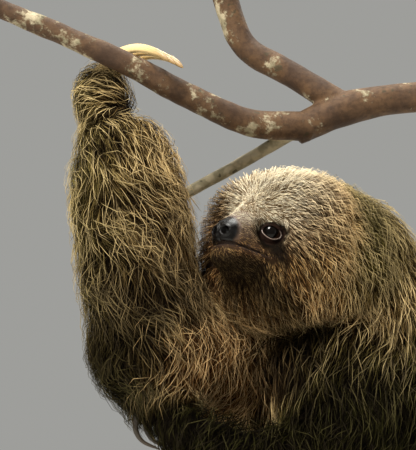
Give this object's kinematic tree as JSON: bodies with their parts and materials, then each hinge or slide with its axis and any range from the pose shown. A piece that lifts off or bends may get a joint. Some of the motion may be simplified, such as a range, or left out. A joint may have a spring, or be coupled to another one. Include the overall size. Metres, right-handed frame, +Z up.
{
  "type": "three-toed sloth",
  "caption": "Life-size brown-throated three-toed sloth holding a cut forked branch, on a display stand.",
  "frame": {"origin": "the middle of the underside of the stand's base", "axes": "+Z up; the animal's back is turned to +X +Y and its face to -X -Y"},
  "size_m": [0.43, 0.31, 0.7405],
  "materials": {
    "coat": "matte",
    "face_coat": "matte",
    "bare_skin": "satin",
    "eye": "glossy",
    "claw": "satin",
    "bark": "matte",
    "stand_wood": "satin",
    "stand_steel": "satin"
  },
  "bodies": {
    "root": {"arm_fore_left": "coat", "arm_fore_right": "coat", "arm_upper_left": "coat", "arm_upper_right": "coat", "belly": "coat", "branch_fork": "bark", "branch_limb": "bark", "branch_main": "bark", "branch_twig": "bark", "chest": "coat", "claw_foot_left_1": "claw", "claw_foot_left_2": "claw", "claw_foot_left_3": "claw", "claw_foot_right_1": "claw", "claw_foot_right_2": "claw", "claw_foot_right_3": "claw", "claw_hand_left_1": "claw", "claw_hand_left_2": "claw", "claw_hand_left_3": "claw", "claw_hand_right_1": "claw", "claw_hand_right_2": "claw", "claw_hand_right_3": "claw", "eye_left": "eye", "eye_right": "eye", "foot_left": "coat", "foot_right": "coat", "hand_left": "coat", "hand_right": "coat", "head": "face_coat", "jaw": "bare_skin", "muzzle": "bare_skin", "neck": "coat", "nose": "bare_skin", "perch_lower": "bark", "rump": "coat", "shank_left": "coat", "shank_right": "coat", "stand_base": "stand_wood", "stand_rod_branch": "stand_steel", "stand_rod_perch": "stand_steel", "tail": "coat", "thigh_left": "coat", "thigh_right": "coat"}
  },
  "joints": []
}
